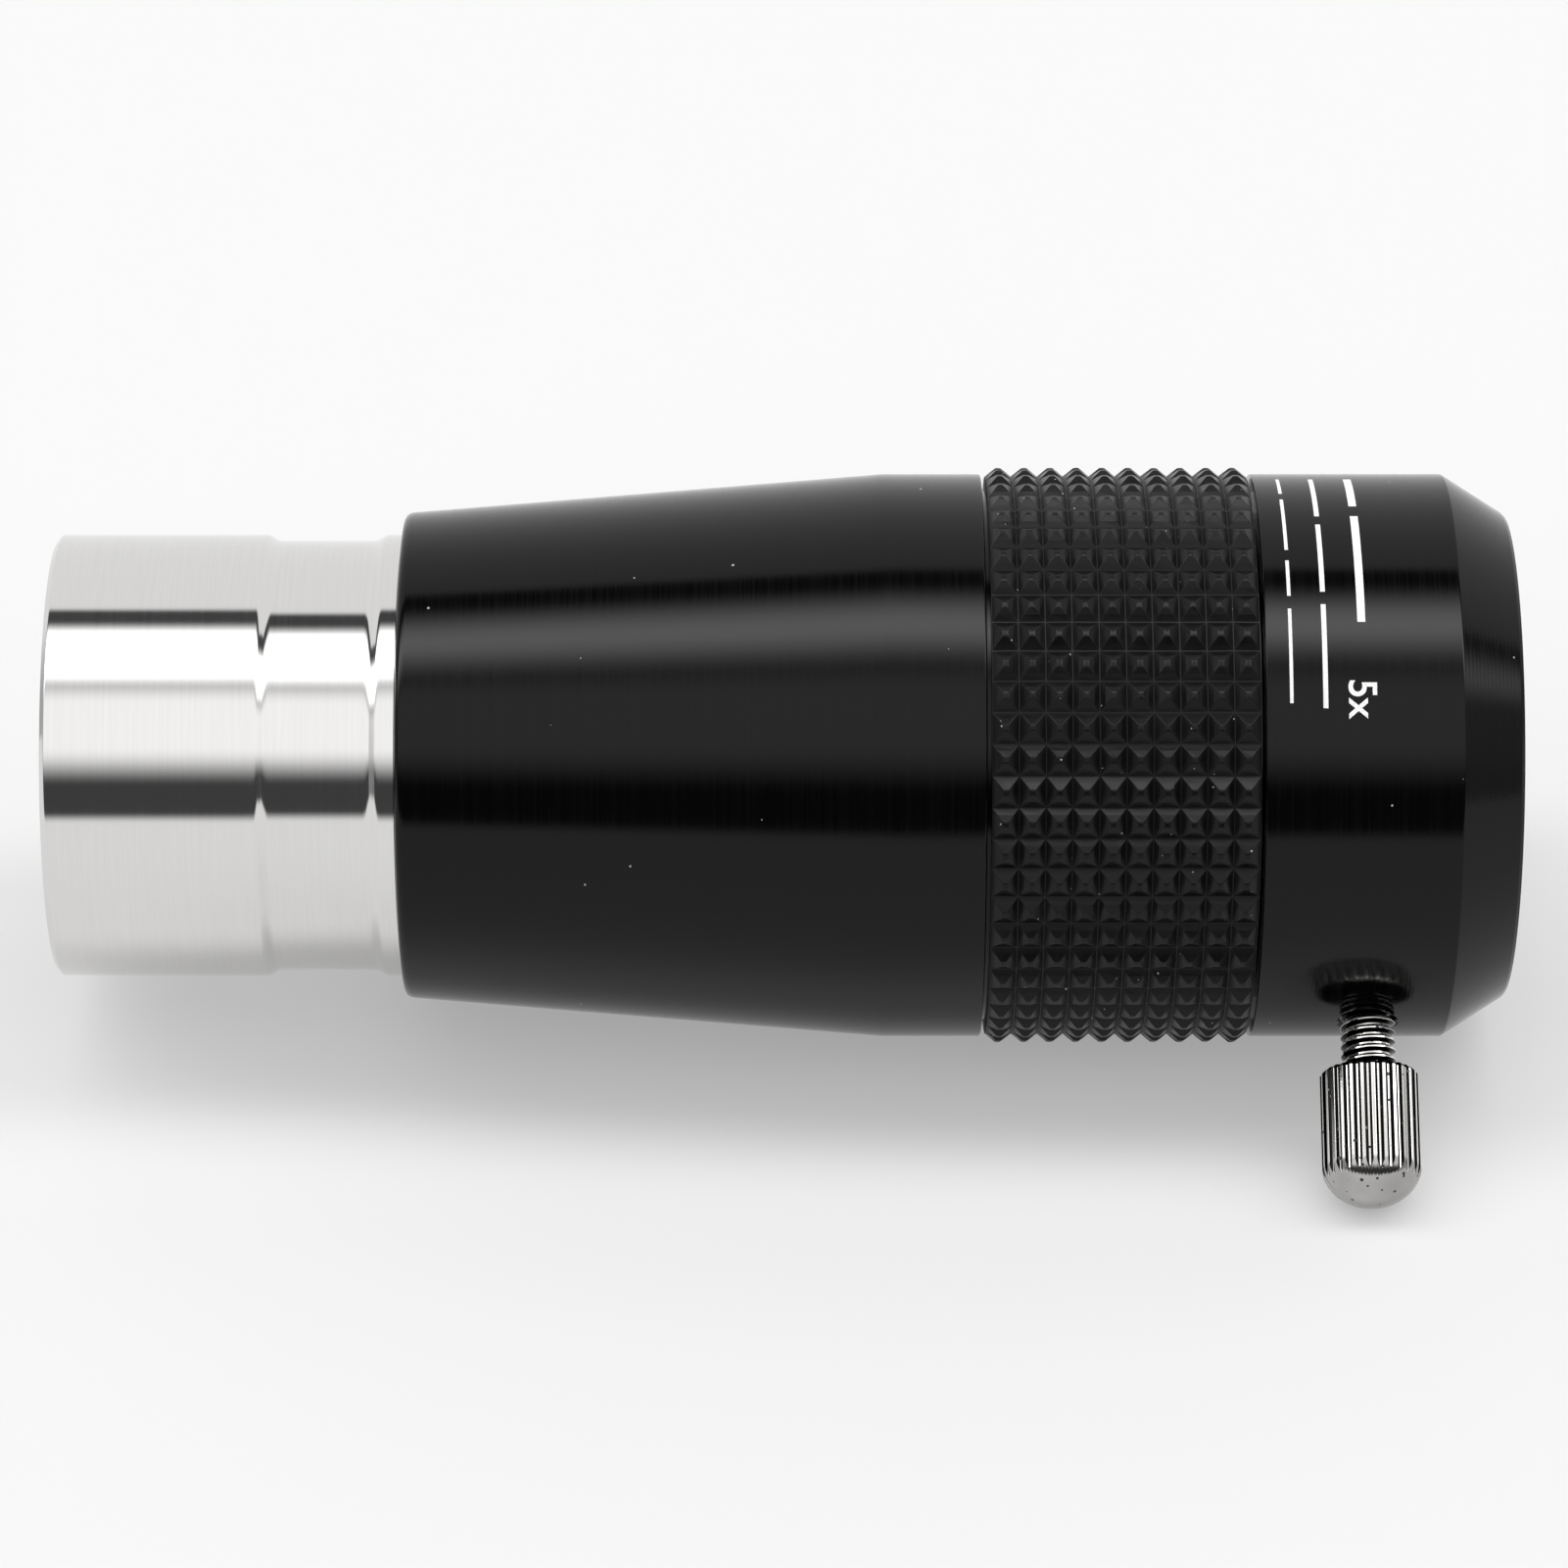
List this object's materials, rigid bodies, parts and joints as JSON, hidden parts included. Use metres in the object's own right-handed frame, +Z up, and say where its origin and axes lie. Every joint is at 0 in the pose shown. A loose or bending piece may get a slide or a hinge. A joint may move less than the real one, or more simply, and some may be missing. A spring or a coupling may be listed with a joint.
{
  "type": "barlow lens",
  "caption": "Telescope barlow lens with a slip-in metal nosepiece, tapered black barrel, rubber grip ring and an eyepiece socket clamped by a thumbscrew.",
  "frame": {"origin": "where the optical axis crosses the black barrel's front face, the shoulder that stops against a focuser", "axes": "+X along the optical axis towards the eyepiece, +Z up with the lens lying on its grip and on the knob of its thumbscrew, which points to -Y"},
  "size_m": [0.1035, 0.0494, 0.0412],
  "materials": {
    "bare_aluminium": "satin, fine turning lines",
    "black_anodised": "satin black anodising, fine turning lines",
    "black_rubber": "matte moulded rubber",
    "black_nickel": "polished dark nickel",
    "brass": "satin",
    "matte_black_metal": "matte black, ridged against stray light",
    "white_paint": "screen-printed marks",
    "coated_glass": "clear, green anti-reflection coating"
  },
  "bodies": {
    "barrel": {"nosepiece": "bare_aluminium", "main_barrel": "black_anodised", "grip_ring": "black_rubber", "eyepiece_holder": "black_anodised", "lens_cell": "matte_black_metal", "cell_lock_ring": "matte_black_metal", "lens_retaining_ring": "matte_black_metal", "lens_spacer": "matte_black_metal", "front_negative_lens": "coated_glass", "cemented_meniscus_lens": "coated_glass", "rear_negative_lens": "coated_glass", "front_baffle": "matte_black_metal", "middle_baffle": "matte_black_metal", "rear_baffle": "matte_black_metal"},
    "clamp_ring": {"compression_ring": "brass"},
    "thumbscrew": {"thumbscrew": "black_nickel"}
  },
  "joints": [
    {"name": "clamp_feed", "type": "slide", "parent": "barrel", "child": "clamp_ring", "axis": [0, 0.829, 0.5592], "range_m": [0, 0.000525]},
    {"name": "thumbscrew_turn", "type": "hinge", "parent": "clamp_ring", "child": "thumbscrew", "pos_m": [0.06855, 0, 0], "axis": [0, 0.829, 0.5592], "range_deg": [0, 270]}
  ],
  "couplings": [
    {"joint": "thumbscrew_turn", "follows": "clamp_feed", "rad_per_m": 8976}
  ]
}
